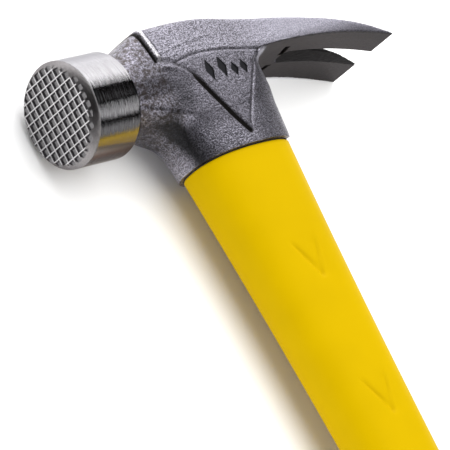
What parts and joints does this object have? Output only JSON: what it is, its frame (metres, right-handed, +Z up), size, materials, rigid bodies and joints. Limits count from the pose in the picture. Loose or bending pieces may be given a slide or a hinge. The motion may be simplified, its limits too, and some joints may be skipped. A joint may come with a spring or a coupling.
{
  "type": "claw hammer",
  "caption": "Framing hammer with a round milled striking face, a nearly straight nail-pulling claw, an oval eye socket, a moulded handle and a rubber grip with a hanging hole.",
  "frame": {"origin": "middle of the whole hammer in X and Y, on the plane that the hammer lies on, so Z is 0 at the lowest point of the poll", "axes": "+X from the striking face to the claw tips, +Y from the butt of the handle to the head, +Z up out of the surface, across the head's cheeks"},
  "size_m": [0.145, 0.406, 0.037],
  "materials": {
    "forged_steel": "shot-blasted forging, bright turned poll, ground claw",
    "epoxy": "cast amber resin",
    "seal_rubber": "matt black",
    "fibreglass": "pultruded glass and resin, cut end",
    "yellow_jacket": "satin moulded polypropylene",
    "grip_rubber": "matt black moulded rubber"
  },
  "bodies": {
    "root": {"head": "forged_steel", "eye_epoxy": "epoxy", "eye_seal": "seal_rubber", "handle_core": "fibreglass", "handle_jacket": "yellow_jacket", "grip_sleeve": "grip_rubber"}
  },
  "joints": []
}
